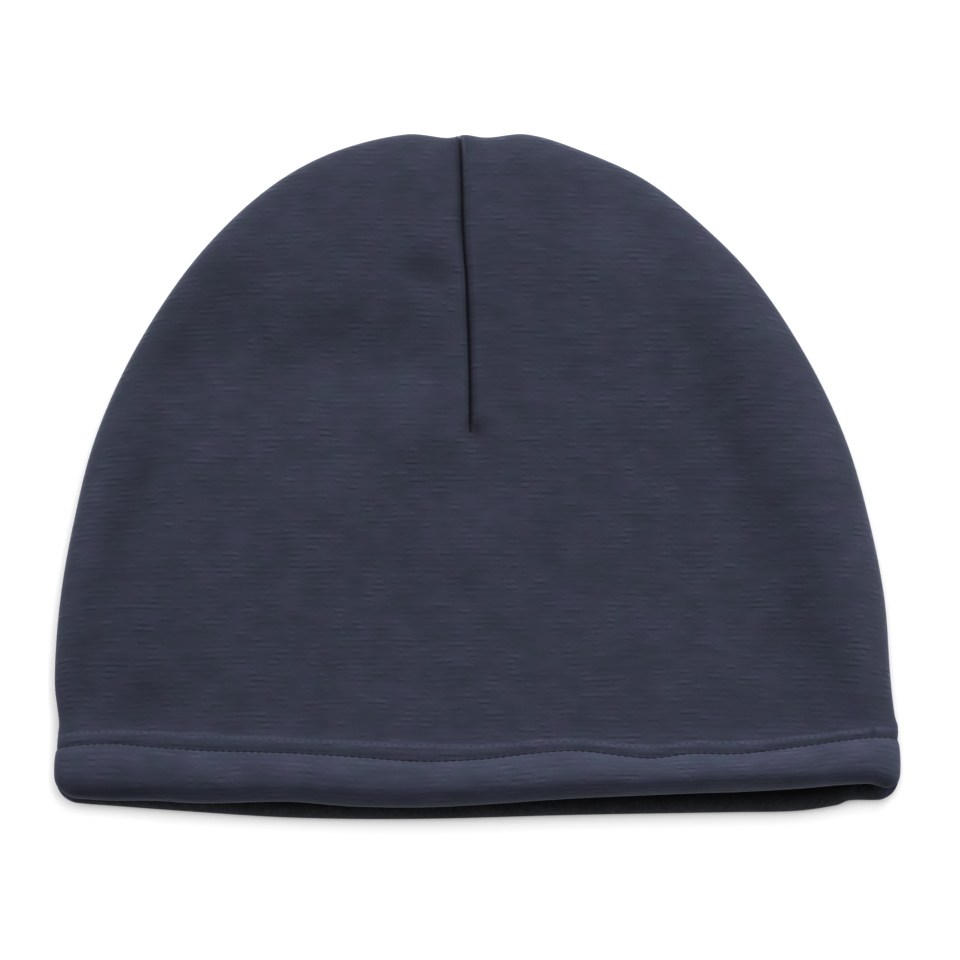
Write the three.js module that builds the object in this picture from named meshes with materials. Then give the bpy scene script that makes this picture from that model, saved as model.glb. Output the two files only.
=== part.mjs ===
// A fleece beanie laid flat on its back, as it lies on a table.
// A front panel and a back panel, each drawn in by one dart, are joined by a side seam
// that runs from the mouth over the crown, and a turned hem is sewn round the mouth.
// Millimetres: +X to the right, +Y from the mouth to the crown, +Z up from the surface.
// The origin is on the surface, under the middle of the laid-out hat.
import * as THREE from "three";

// Cloth
const FLEECE = 2.4; // thickness of one layer
const CLOTH_GAP = 0.3; // clearance between pieces that are sewn together
const LAYERS_IN_HEM = 5.1; // outer layer and turned-in layer, pressed together

// Heights over the surface
const SEAM_HEIGHT = 7.5; // the side seam, halfway up the side fold
const FRONT_EDGE_RISE = 7.5; // from the seam up to the shoulder of the front
const DOME_RISE = 7.5; // from that shoulder up to the middle of the front

// How far in from the side seam each form reaches
const FRONT_EDGE_REACH = 11;
const BACK_EDGE_REACH = 12;
const DOME_REACH = 44;
const MOUTH_EDGE_REACH = 18;
const HEM_CORNER = 6; // how the mouth's corners are rounded at the side seams

// Seams. Two rolled edges meet in a groove, and a ridge of cloth stands behind it.
const SEAM_DEPTH = 1.2;
const SEAM_REACH = 2.2;
const DART_DEPTH = 2.4;
const DART_REACH = 3.2;
const RIDGE_REACH = 2.6;
const DART_END_UP = 99.6;
const DART_FADE = 14; // the groove runs out over this length
const DART_SEAM_REACH = 16; // and near the crown it gives way to the side seam

// Hem stitching: two rows, which press the cloth down
const ROW_SPACING = 4.8;
const STITCH_DEPTH = 0.8;
const STITCH_REACH = 1.2;
const STITCH_SEAM_REACH = 8; // the thick side seam is pressed less
const HEM_WAVE_REACH = 60; // above this the courses run level again

// The stitching's datum line in the part's frame. Heights called up are measured from it.
const HEM_ROW_Y = -89.5;

// Where knitted courses cross the dart line and meet the side seam, from the mouth to the apex.
const COURSES = [
  { centreUp: 0, centreX: 0, sideUp: 0, leftX: -134.1, rightX: 134.6 },
  { centreUp: 5, centreX: 0, sideUp: 5, leftX: -133.8, rightX: 134.7 },
  { centreUp: 9, centreX: 0, sideUp: 9, leftX: -133.5, rightX: 133.7 },
  { centreUp: 22, centreX: -0.1, sideUp: 23, leftX: -134.9, rightX: 132.3 },
  { centreUp: 42, centreX: -0.5, sideUp: 49, leftX: -133.2, rightX: 130.5 },
  { centreUp: 62, centreX: -1.0, sideUp: 75, leftX: -128.8, rightX: 125.6 },
  { centreUp: 82, centreX: -1.5, sideUp: 101, leftX: -122.3, rightX: 118.2 },
  { centreUp: 101, centreX: -1.9, sideUp: 127, leftX: -111.2, rightX: 106.2 },
  { centreUp: 121, centreX: -2.3, sideUp: 153, leftX: -95.3, rightX: 89.4 },
  { centreUp: 138, centreX: -2.8, sideUp: 172, leftX: -79.1, rightX: 71.1 },
  { centreUp: 153, centreX: -3.5, sideUp: 186, leftX: -62.3, rightX: 53.3 },
  { centreUp: 168, centreX: -4.4, sideUp: 195.2, leftX: -44.3, rightX: 33.2 },
  { centreUp: 184, centreX: -4.8, sideUp: 200.4, leftX: -22.8, rightX: 16.0 },
  { centreUp: 194, centreX: -5.3, sideUp: 199.4, leftX: -9.9, rightX: 3.2 },
  { centreUp: 200, centreX: -5.9, sideUp: 200, leftX: -5.9, rightX: -5.9 },
];
const APEX_UP = COURSES.at(-1).centreUp;

// The mouth along the front: height of the lower stitch row, of the folded edge, how high
// the cloth arches there over its side folds, and how far the fold hangs below the stitching.
const FRONT_HEM = [
  { across: -134.1, row: 0.2, fold: -15.5, rise: 0, droop: 0 },
  { across: -117, row: 1.1, fold: -16.4, rise: 0, droop: 1.5 },
  { across: -104, row: -0.2, fold: -16.6, rise: 2, droop: 2.5 },
  { across: -88, row: -1.8, fold: -17.7, rise: 4.5, droop: 3.5 },
  { across: -60, row: -2.9, fold: -17.4, rise: 6.4, droop: 4 },
  { across: -40, row: -4.3, fold: -19.1, rise: 7.6, droop: 4 },
  { across: -18, row: -6.0, fold: -19.6, rise: 8.7, droop: 4 },
  { across: 0, row: -5.5, fold: -18.9, rise: 9.3, droop: 4 },
  { across: 30, row: -2.8, fold: -17.0, rise: 10.1, droop: 4 },
  { across: 55, row: -5.3, fold: -16.0, rise: 10.8, droop: 4 },
  { across: 68, row: -3.9, fold: -15.5, rise: 11, droop: 4 },
  { across: 84, row: -3.8, fold: -14.9, rise: 10.4, droop: 4 },
  { across: 104, row: -1.0, fold: -13.5, rise: 8.2, droop: 3.5 },
  { across: 120, row: 2.0, fold: -11.6, rise: 3.2, droop: 2.5 },
  { across: 129, row: 3.2, fold: -11.6, rise: 0.8, droop: 1 },
  { across: 134.6, row: 3.4, fold: -15.1, rise: 0, droop: 0 },
];

// The mouth along the back, which lies flat on the surface.
const BACK_HEM = [
  { across: -134.1, row: 0.2, fold: -15.5, rise: 0, droop: 0 },
  { across: -121, row: -0.8, fold: -16.3, rise: 0, droop: 0 },
  { across: -90, row: -3.0, fold: -18.6, rise: 0, droop: 0 },
  { across: -58, row: -4.9, fold: -20.5, rise: 0, droop: 0 },
  { across: -19, row: -5.3, fold: -20.9, rise: 0, droop: 0 },
  { across: 32, row: -4.0, fold: -19.6, rise: 0, droop: 0 },
  { across: 83, row: -3.0, fold: -18.7, rise: 0, droop: 0 },
  { across: 102, row: -2.4, fold: -18.3, rise: 0, droop: 0 },
  { across: 115, row: -0.7, fold: -16.4, rise: 0, droop: 0 },
  { across: 119, row: 0.1, fold: -14.9, rise: 0, droop: 0 },
  { across: 128, row: 2.2, fold: -14.9, rise: 0, droop: 0 },
  { across: 134.6, row: 3.4, fold: -15.1, rise: 0, droop: 0 },
];

// Soft swells and dents of the front. Height is at the middle, long and wide are reaches, and
// turn is the angle in degrees from +X to the long direction.
const SWELLS = [
  { across: -52, up: 124, long: 44, wide: 15, turn: 2, height: -3.0 }, // dip left of the dart
  { across: -14, up: 98, long: 16, wide: 10, turn: 0, height: 1.3 }, // fullness at the dart's end
  { across: -16, up: 152, long: 9, wide: 6, turn: -20, height: -1.6 }, // dimple beside the dart
  { across: -84, up: 150, long: 18, wide: 10, turn: 40, height: -1.1 }, // dent at the upper left
  { across: -112, up: 72, long: 36, wide: 9, turn: 77, height: -1.0 }, // hollow, left side
  { across: 82, up: 131, long: 24, wide: 13, turn: 118, height: 1.6 }, // ridge, right side
  { across: 104, up: 84, long: 28, wide: 13, turn: 108, height: 1.9 }, // its middle
  { across: 117, up: 42, long: 24, wide: 12, turn: 100, height: 1.7 }, // its lower end
  { across: -3, up: 64, long: 20, wide: 12, turn: 30, height: 1.0 }, // fullness under the dart
];

// The hem's section, from the shoulder at the stitching round the fold to the inner lip that
// the two rows hold. Part is the share of the way down to the fold, out is off the cloth.
const HEM_SECTION = [
  { part: 0.1, out: 0.7 },
  { part: 0.28, out: 2.0 },
  { part: 0.5, out: 2.45 },
  { part: 0.72, out: 2.3 },
  { part: 0.86, out: 1.7 },
  { part: 0.96, out: 0.2 },
  { part: 1, out: -2.4 },
  { part: 0.95, out: -4.4 },
  { part: 0.8, out: -LAYERS_IN_HEM },
  { part: 0.4, out: -LAYERS_IN_HEM },
];

// How finely the cloth is faceted
const HALF_COLUMNS = 20;
const SIDE_CROWDING = 1.4; // how far the columns crowd toward the side seams as well
const SEAM_LINKS = 300;
const LOWEST = CLOTH_GAP / 2; // the panels end just above the lower stitch row
const LIP_ROWS = [LOWEST, ROW_SPACING / 2, ROW_SPACING];
const FRONT_ROWS = [
  LOWEST, ROW_SPACING / 2, ROW_SPACING - 0.9, ROW_SPACING, ROW_SPACING + 0.6, 7, 11, 18, 28, 40,
  53, 66, 79, 90, 99, 107, 117, 129, 141, 152, 162, 171, 179, 186, 192, 197,
];
const BACK_ROWS = [
  LOWEST, ROW_SPACING / 2, ROW_SPACING, 9, 18, 34, 54, 75, 90, 99, 107, 122, 138, 152, 164,
  174, 182, 189, 195, 198,
];

// A smooth curve through one column of a table, with another column as its knots.
function track(table, knot, column, at) {
  const last = table.length - 1;
  const x = Math.min(Math.max(at, table[0][knot]), table[last][knot]);
  let i = 0;
  while (i < last - 1 && x > table[i + 1][knot]) i += 1;
  const slope = (k) => {
    const a = table[Math.max(k - 1, 0)];
    const b = table[Math.min(k + 1, last)];
    return (b[column] - a[column]) / (b[knot] - a[knot]);
  };
  const span = table[i + 1][knot] - table[i][knot];
  const t = (x - table[i][knot]) / span;
  return (
    (1 + 2 * t) * (1 - t) ** 2 * table[i][column] +
    t * (1 - t) ** 2 * span * slope(i) +
    t * t * (3 - 2 * t) * table[i + 1][column] -
    t * t * (1 - t) * span * slope(i + 1)
  );
}

// 0 at an edge and 1 from reach on, along a quarter of an ellipse.
const roll = (distance, reach) => {
  const left = 1 - Math.min(Math.max(distance / reach, 0), 1);
  return Math.sqrt(1 - left * left);
};
const bell = (distance, reach) => Math.exp(-((distance / reach) ** 2));
const mix = (a, b, share) => a + (b - a) * share;
const seamPoint = (up, side) =>
  new THREE.Vector2(track(COURSES, "centreUp", side, up), track(COURSES, "centreUp", "sideUp", up));

// The two sides of the side seam as chains of points from the mouth to the apex, closer
// together toward the apex, where the seam curves most.
const SEAM_CHAINS = ["leftX", "rightX"].map((side) =>
  Array.from({ length: SEAM_LINKS + 1 }, (_, i) => {
    const left = 1 - i / SEAM_LINKS;
    return seamPoint(APEX_UP * (1 - left * left), side);
  }),
);

function distanceToChain(point, chain) {
  let nearest = Infinity;
  for (let i = 1; i < chain.length; i += 1) {
    const start = chain[i - 1];
    const runX = chain[i].x - start.x;
    const runY = chain[i].y - start.y;
    const along = ((point.x - start.x) * runX + (point.y - start.y) * runY) / (runX ** 2 + runY ** 2);
    const t = Math.min(Math.max(along, 0), 1);
    nearest = Math.min(nearest, Math.hypot(point.x - start.x - t * runX, point.y - start.y - t * runY));
  }
  return Math.max(nearest, 1e-9);
}

// How far a point of the laid-out cloth lies in from the side seam. The two sides are
// blended, so that the cloth has no crease where they are equally near.
function depthInside(plan) {
  const [left, right] = SEAM_CHAINS.map((chain) => distanceToChain(plan, chain));
  return (left ** -3 + right ** -3) ** (-1 / 3);
}

// A point of the cloth's smooth outer face, with its depth inside the side seam. Column runs
// from -1 at the left seam to 1 at the right seam, and up is where its course crosses the
// dart line.
function faceAt(hem, column, up) {
  const across = Math.sin((column * Math.PI) / 2);
  const side = seamPoint(up, across < 0 ? "leftX" : "rightX");
  const centreX = track(COURSES, "centreUp", "centreX", up);
  const plan = new THREE.Vector2(
    mix(centreX, side.x, Math.abs(across)),
    mix(up, side.y, across * across),
  );
  const depth = Math.abs(column) === 1 ? 0 : depthInside(plan);
  const level = Math.min(up / HEM_WAVE_REACH, 1);
  const y = plan.y + track(hem, "across", "row", plan.x) * (1 - level) ** 2 + HEM_ROW_Y;
  if (hem === BACK_HEM) {
    const z = SEAM_HEIGHT * (1 - roll(depth, BACK_EDGE_REACH));
    return { point: new THREE.Vector3(plan.x, y, z), depth };
  }
  const dome = DOME_RISE * (1 - (1 - Math.min(depth / DOME_REACH, 1)) ** 2);
  const arch = track(hem, "across", "rise", plan.x) * roll(depth, MOUTH_EDGE_REACH);
  const settle = level * level * (3 - 2 * level);
  let z = SEAM_HEIGHT + FRONT_EDGE_RISE * roll(depth, FRONT_EDGE_REACH) + mix(arch, dome, settle);
  for (const swell of SWELLS) {
    const offset = plan.clone().sub(new THREE.Vector2(swell.across, swell.up));
    offset.rotateAround(new THREE.Vector2(), (-swell.turn * Math.PI) / 180);
    const near = bell(offset.x, swell.long) * bell(offset.y, swell.wide);
    z += swell.height * near * roll(depth, MOUTH_EDGE_REACH);
  }
  return { point: new THREE.Vector3(plan.x, y, z), depth };
}

// The way out of the cloth, square to its smooth outer face. At the side seam the cloth
// turns over, so there it points straight out of the laid-out shape.
function normalAt(hem, column, up) {
  const step = 1e-3;
  const lower = Math.max(up - step, 0);
  const upper = Math.min(up + step, APEX_UP);
  if (Math.abs(column) === 1) {
    const side = column < 0 ? "leftX" : "rightX";
    const along = seamPoint(upper, side).sub(seamPoint(lower, side)).normalize();
    return new THREE.Vector3(along.y * column, -along.x * column, 0);
  }
  const { point: left } = faceAt(hem, column - step, up);
  const { point: right } = faceAt(hem, column + step, up);
  const { point: before } = faceAt(hem, column, lower);
  const { point: beyond } = faceAt(hem, column, upper);
  const normal = right.sub(left).cross(beyond.sub(before)).normalize();
  return hem === BACK_HEM ? normal.negate() : normal;
}

// The cloth at one place: its smooth face and normal, how far the outer face sinks at the
// seams and the stitching, and how far the inner face stands back there. Near the side seam
// the dart's groove and ridge give way to the seam's own.
function clothAt(hem, column, up) {
  const { point, depth } = faceAt(hem, column, up);
  const normal = normalAt(hem, column, up);
  const fromSeam = Math.hypot(depth, point.z - SEAM_HEIGHT);
  const fromDart = Math.abs(point.x - track(COURSES, "centreUp", "centreX", up));
  const started = Math.min(Math.max((up - DART_END_UP) / DART_FADE, 0), 1);
  const dart = DART_DEPTH * started * roll(fromSeam, DART_SEAM_REACH);
  const pressed = STITCH_DEPTH * roll(depth, STITCH_SEAM_REACH);
  const stitched = pressed * (bell(up, STITCH_REACH) + bell(up - ROW_SPACING, STITCH_REACH));
  const seamGroove = SEAM_DEPTH * (1 - roll(fromSeam, SEAM_REACH));
  const seamRidge = SEAM_DEPTH * bell(fromSeam, RIDGE_REACH);
  return {
    point,
    normal,
    depth,
    groove: Math.max(seamGroove, dart * (1 - roll(fromDart, DART_REACH))) + stitched,
    ridge: Math.max(seamRidge, dart * bell(fromDart, RIDGE_REACH)),
  };
}
const below = ({ point, normal }, distance) => point.clone().addScaledVector(normal, -distance);

// Columns from the left seam to the right seam, crowded at the dart and a little at the seams.
function columnPlaces() {
  const half = [];
  for (let k = 1; k <= HALF_COLUMNS; k += 1) {
    const t = k / HALF_COLUMNS;
    half.push(t * t * (1 + SIDE_CROWDING * (1 - t)));
  }
  return [...half.map((c) => -c).reverse(), 0, ...half];
}

// A mesh that is put together face by face.
class Skin {
  constructor() {
    this.places = [];
    this.faces = [];
  }
  add(point) {
    this.places.push(point.x, point.y, point.z);
    return this.places.length / 3 - 1;
  }
  // A triangle or four-sided face, its corners counter-clockwise seen from outside.
  face(corners) {
    const [a, b, c, d] = corners;
    this.faces.push(a, b, c);
    if (corners.length === 4) this.faces.push(a, c, d);
  }
  toMesh(name, material) {
    const geometry = new THREE.BufferGeometry();
    geometry.setAttribute("position", new THREE.Float32BufferAttribute(this.places, 3));
    geometry.setIndex(this.faces);
    geometry.computeVertexNormals();
    const mesh = new THREE.Mesh(geometry, material);
    mesh.name = name;
    return mesh;
  }
}

// One panel: the outer and inner face of its cloth, closed along both seams, the stitching
// and the apex. Half of the seam's gap is left to each panel.
function makePanel(name, hem, rows, material) {
  const skin = new Skin();
  const columns = columnPlaces();
  const isFront = hem === FRONT_HEM;
  const rim = SEAM_HEIGHT + (isFront ? CLOTH_GAP / 2 : -CLOTH_GAP / 2);
  const outer = [];
  const inner = [];
  for (const up of rows) {
    const places = columns.map((column) => clothAt(hem, column, up));
    const faceOf = (depthOf) =>
      places.map((place, k) => {
        const point = below(place, depthOf(place));
        if (Math.abs(columns[k]) === 1) point.z = rim;
        point.z = isFront ? Math.max(point.z, rim) : Math.min(point.z, rim);
        return skin.add(point);
      });
    outer.push(faceOf((place) => place.groove));
    inner.push(faceOf((place) => FLEECE + place.ridge));
  }
  const apex = faceAt(hem, 0, APEX_UP).point;
  apex.set(apex.x, apex.y - SEAM_DEPTH, rim);
  const outerApex = skin.add(apex);
  const innerApex = skin.add(apex.setY(apex.y - FLEECE));
  // The front's columns run counter-clockwise seen from outside, the back's clockwise.
  const face = (...corners) => skin.face(isFront ? corners : corners.reverse());
  const top = rows.length - 1;
  const end = columns.length - 1;
  for (let r = 0; r < top; r += 1) {
    for (let k = 0; k < end; k += 1) {
      face(outer[r][k], outer[r][k + 1], outer[r + 1][k + 1], outer[r + 1][k]);
      face(inner[r][k], inner[r + 1][k], inner[r + 1][k + 1], inner[r][k + 1]);
    }
    face(outer[r][0], outer[r + 1][0], inner[r + 1][0], inner[r][0]);
    face(outer[r][end], inner[r][end], inner[r + 1][end], outer[r + 1][end]);
  }
  for (let k = 0; k < end; k += 1) {
    face(outer[0][k], inner[0][k], inner[0][k + 1], outer[0][k + 1]);
    face(outer[top][k], outer[top][k + 1], outerApex);
    face(inner[top][k], innerApex, inner[top][k + 1]);
  }
  face(outer[top][0], outerApex, innerApex, inner[top][0]);
  face(outer[top][end], inner[top][end], innerApex, outerApex);
  return skin.toMesh(name, material);
}

// The turned hem at one place round the mouth, as a ring of points: the shoulder at the
// stitching, the way round the fold, and the inner lip that the two rows hold. At the side
// seams the fold draws in, which rounds the mouth's corners.
function hemRing(hem, column) {
  const row = clothAt(hem, column, 0);
  const flat = row.normal.clone().setY(0).normalize();
  const corner = HEM_CORNER * (1 - roll(row.depth, HEM_CORNER));
  const foldY = track(hem, "across", "fold", row.point.x) + HEM_ROW_Y + corner;
  const droop = track(hem, "across", "droop", row.point.x);
  const bulging = (1 + flat.z) / 2; // full over the front, none on the back, which lies flat
  const round = HEM_SECTION.map(({ part, out }) => {
    const point = row.point.clone().setY(mix(row.point.y, foldY, part));
    point.z -= droop * part ** 6;
    return point.addScaledVector(flat, out > 0 ? out * bulging : out);
  });
  const lip = LIP_ROWS.map((up) => clothAt(hem, column, up));
  const behind = FLEECE + CLOTH_GAP * (Math.abs(column) === 1 ? 2 : 1);
  const shoulder = below(row, row.groove);
  const rowBehind = below(row, behind + row.ridge);
  shoulder.y -= CLOTH_GAP / 2;
  rowBehind.y -= CLOTH_GAP / 2;
  const ring = [
    shoulder,
    ...round,
    ...lip.map((place) => below(place, LAYERS_IN_HEM + place.ridge)),
    ...lip.map((place) => below(place, behind + place.ridge)).reverse(),
    rowBehind,
  ];
  // The front stays over the back inside the side folds, and nothing is under the surface.
  const isFront = hem === FRONT_HEM;
  const lowest = isFront ? SEAM_HEIGHT + CLOTH_GAP / 2 : 0;
  const highest = isFront ? Infinity : SEAM_HEIGHT - CLOTH_GAP / 2;
  for (const point of ring) {
    if (Math.abs(column) === 1) point.z = SEAM_HEIGHT;
    else point.z = Math.min(Math.max(point.z, lowest), highest);
  }
  return ring;
}

// The turned hem, carried round the mouth: over the front, and back along the back.
function makeHem(material) {
  const skin = new Skin();
  const columns = columnPlaces();
  const rings = [
    ...columns.map((column) => hemRing(FRONT_HEM, column)),
    ...columns.slice(1, -1).reverse().map((column) => hemRing(BACK_HEM, column)),
  ].map((ring) => ring.map((point) => skin.add(point)));
  rings.forEach((ring, i) => {
    const next = rings[(i + 1) % rings.length];
    ring.forEach((corner, k) => {
      const after = (k + 1) % ring.length;
      skin.face([corner, ring[after], next[after], next[k]]);
    });
  });
  return skin.toMesh("turned_hem", material);
}

const makeFleece = (name, color) =>
  new THREE.MeshStandardMaterial({ name, color, roughness: 0.95, metalness: 0 });
const navyFleece = makeFleece("navy_fleece", 0x3a3e4f);
const hemFleece = makeFleece("hem_fleece", 0x41465a);

const beanie = new THREE.Group();
beanie.name = "fleece_beanie";
beanie.add(makePanel("front_panel", FRONT_HEM, FRONT_ROWS, navyFleece));
beanie.add(makePanel("back_panel", BACK_HEM, BACK_ROWS, navyFleece));
beanie.add(makeHem(hemFleece));

export default beanie;
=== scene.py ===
"""A fleece beanie laid flat on its back, with the floor, light and camera that show it.

Shapes are worked out in millimetres, with +X to the right, +Y from the mouth to the crown and
+Z up from the floor, and go into the meshes in metres. Heights called up are measured from the
lower row of the hem's stitching. Column runs from -1 at the left seam to 1 at the right seam.
"""
import math
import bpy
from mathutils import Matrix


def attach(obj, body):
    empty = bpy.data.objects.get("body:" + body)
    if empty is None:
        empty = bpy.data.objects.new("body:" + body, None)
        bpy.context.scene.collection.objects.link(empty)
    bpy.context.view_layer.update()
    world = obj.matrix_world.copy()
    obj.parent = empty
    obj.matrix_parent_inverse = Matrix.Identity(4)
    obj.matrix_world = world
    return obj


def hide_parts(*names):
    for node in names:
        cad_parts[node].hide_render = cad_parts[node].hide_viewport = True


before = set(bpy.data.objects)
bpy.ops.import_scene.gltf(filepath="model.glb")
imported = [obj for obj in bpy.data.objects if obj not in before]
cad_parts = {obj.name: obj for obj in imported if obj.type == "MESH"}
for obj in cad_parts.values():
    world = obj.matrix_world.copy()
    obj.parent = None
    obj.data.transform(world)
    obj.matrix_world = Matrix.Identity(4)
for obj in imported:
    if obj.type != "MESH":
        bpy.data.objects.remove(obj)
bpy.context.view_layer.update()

from types import SimpleNamespace

import bpy
import numpy as np
from mathutils import Vector

bl_info = {
    "name": "Fleece Beanie",
    "version": (1, 0, 0),
    "blender": (4, 5, 0),
    "location": "View3D > Sidebar > Beanie",
    "description": "Builds a fleece beanie laid flat, its hem stitching and its stage",
    "category": "Add Mesh",
}


def table(names, rows):
    """A table of named columns, each one an array."""
    return dict(zip(names.split(), np.array(rows, dtype=float).T))


# The stitching's datum line. Heights called up are measured from it.
HEM_ROW_Y = -89.5

# How far in from the side seam each form reaches
FRONT_EDGE_REACH = 11
BACK_EDGE_REACH = 12
DOME_REACH = 38
MOUTH_EDGE_REACH = 18
SEAM_REACH = 2.2
DART_SEAM_REACH = 14
STITCH_SEAM_REACH = 8

# The dart, and the ridge of cloth that stands behind it and behind the side seam
DART_END_UP = 99.6
DART_FADE = 5  # the way up over which it deepens
DART_SLOT = 0.3  # half the width of the dark slot between its two edges
DART_REACH = 2.2
DART_HOLLOW = 0.4  # it also draws the cloth beside it in a little
DART_HOLLOW_REACH = 10
DART_LAP = 0.6  # how far the right half laps up over the left one near the apex
RIDGE_REACH = 2.6

# The hem and its stitching
HEM_WAVE_REACH = 60  # how far up the cloth follows the waves of the stitching
HEM_THICKNESS = 5.1
HEM_CORNER = 6  # how the mouth's corners are rounded at the side seams
ROW_REACH = 0.7  # half the width of a stitch row's groove
BAND_RISE = 0.35  # how proud the two layers between the stitch rows stand
BAND_EASE = 2.4  # over which the band rises from the lower row
DIMPLE_DEPTH = 0.05  # how far the cloth dips at each needle hole of the lower row
DIMPLE_REACH = 0.9
SHOULDER_DIMPLE = 0.25  # how far the hem's shoulder dips beside it
STITCH_ENDS = (0.1, 0.9)  # where a stitch dives in, as shares of the way between two holes
STITCH_ARCH = 1.2  # how high a stitch arches and how deep it starts, in thread widths
STITCH_SINK = 1.25
STITCH_TAPER = 0.7  # how thick its ends are against its middle

# Where knitted courses cross the dart line and meet the side seam, from the mouth to the apex.
COURSES = table("centre_up centre_x side_up left_x right_x", [
    (0, 0, 0, -134.1, 134.6),
    (5, 0, 5, -133.8, 134.7),
    (9, 0, 9, -133.5, 133.7),
    (22, -0.1, 23, -134.9, 132.3),
    (42, -0.5, 49, -133.2, 130.5),
    (62, -1.0, 75, -128.8, 125.6),
    (82, -1.5, 101, -122.3, 118.2),
    (101, -1.9, 127, -111.2, 106.2),
    (121, -2.3, 153, -95.3, 89.4),
    (138, -2.8, 172, -79.1, 71.1),
    (153, -3.5, 186, -62.3, 53.3),
    (168, -4.4, 195.2, -44.3, 33.2),
    (184, -4.8, 200.4, -22.8, 16.0),
    (194, -5.3, 199.4, -9.9, 3.2),
    (200, -5.9, 200, -5.9, -5.9),
])
APEX_UP = COURSES["centre_up"][-1]

# The mouth along the front: height of the lower stitch row, of the folded edge, how high the
# cloth arches there over its side folds, how far the fold hangs below the stitching, and the
# share of the row spacing that is left where the cloth is pushed together.
FRONT_HEM = table("across row fold rise droop gap", [
    (-134.1, 0.2, -15.5, 0, 0, 0.85),
    (-117, 1.1, -16.4, 0, 1.5, 0.88),
    (-104, -0.2, -16.6, 2, 2.5, 0.94),
    (-88, -1.8, -17.7, 4.5, 3.5, 0.97),
    (-60, -2.9, -17.4, 6.4, 4, 0.82),
    (-40, -4.3, -19.1, 7.6, 4, 0.85),
    (-18, -6.0, -19.6, 8.7, 4, 0.93),
    (0, -5.5, -18.9, 9.3, 4, 0.78),
    (30, -2.8, -17.0, 10.1, 4, 0.62),
    (55, -5.3, -16.0, 10.8, 4, 0.66),
    (68, -3.9, -15.5, 11, 4, 0.65),
    (84, -3.8, -14.9, 10.4, 4, 0.66),
    (104, -1.0, -13.5, 8.2, 3.5, 0.58),
    (120, 2.0, -11.6, 3.2, 2.5, 0.58),
    (129, 3.2, -11.6, 0.8, 1, 0.68),
    (134.6, 3.4, -15.1, 0, 0, 0.75),
])

# The mouth along the back, which lies flat on the floor.
BACK_HEM = table("across row fold droop gap", [
    (-134.1, 0.2, -15.5, 0, 0.85),
    (-121, -0.8, -16.3, 0, 0.85),
    (-90, -3.0, -18.6, 0, 0.85),
    (-58, -4.9, -20.5, 0, 0.85),
    (-19, -5.3, -20.9, 0, 0.85),
    (32, -4.0, -19.6, 0, 0.8),
    (83, -3.0, -18.7, 0, 0.75),
    (102, -2.4, -18.3, 0, 0.75),
    (115, -0.7, -16.4, 0, 0.75),
    (119, 0.1, -14.9, 0, 0.75),
    (128, 2.2, -14.9, 0, 0.75),
    (134.6, 3.4, -15.1, 0, 0.75),
])

# Soft swells and dents of the front. Height is at the middle, long and wide are reaches, and
# turn is the angle in degrees from +X to the long direction.
SWELLS = table("across up long wide turn height", [
    (-52, 124, 44, 15, 2, -3.0),  # broad dip left of the dart
    (-14, 98, 16, 10, 0, 1.3),  # fullness beside the dart's lower end
    (-50, 79, 18, 9, 30, 0.9),  # its soft continuation down to the left
    (-16, 152, 9, 6, -20, -1.6),  # dimple beside the dart
    (-84, 150, 18, 10, 40, -1.1),  # dent at the upper left
    (-117, 72, 36, 8, 77, -1.8),  # hollow along the left side
    (84, 131, 24, 12, 118, 2.8),  # ridge along the right side
    (106, 84, 28, 12, 108, 3.3),  # its middle
    (118, 42, 24, 11, 100, 2.9),  # its lower end
    (36, 158, 14, 10, 0, 0.9),  # fullness at the upper right
    (-3, 64, 20, 12, 30, 1.0),  # fullness under the dart
    (-24, 186, 16, 12, 0, 0.6),  # the two halves of the crown stand up beside the dart
    (17, 187, 16, 12, 0, 0.6),
    (1, 97, 7, 4, 120, -0.5),  # tuck at the dart's lower end
])

# Soft patches of painted shade and painted light on the front, which make the cloth look darker or
# lighter there.
PAINTED_SHADING = table("across up long wide turn tone", [
    (73, 130, 22, 9, 109, -0.5),  # dark band inside the ridge along the right side
    (88, 90, 28, 10, 107, -0.6),
    (104, 40, 27, 10, 106, -0.75),
    (-111, 78, 28, 6, 72, -0.8),  # dark band inside the left side
    (-124, 76, 42, 3.5, 78, 0.6),  # light band along the left side
    (-127, 28, 5, 9, 0, -0.5),
    (-104, 18, 10, 5, 0, -0.6),
    (-92, 136, 22, 11, 50, -0.9),  # dark patches at the upper left
    (-74, 151, 12, 8, 40, -0.5),
    (-64, 124, 10, 7, 0, -0.5),
    (-40, 137, 22, 9, 0, -0.5),
    (-16.5, 155, 8, 4.5, -20, -0.8),  # the dimple beside the dart
    (-20, 117, 11, 6, 0, 0.5),  # light fullness left of the dart's lower end
    (-40, 114, 24, 7, 0, 0.25),
    (-12, 97, 9, 6, 0, -0.4),  # shade round the dart's end
    (-48, 88, 16, 8, 35, 0.35),
    (1, 72, 12, 10, 0, 0.3),
    (43, 165, 10, 9, 0, 0.5),
    (-24, 15, 16, 4, 0, 0.4),
    (-20, 86, 10, 8, 0, -0.3),
    (-31, 60, 14, 7, 0, -0.25),
])

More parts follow.
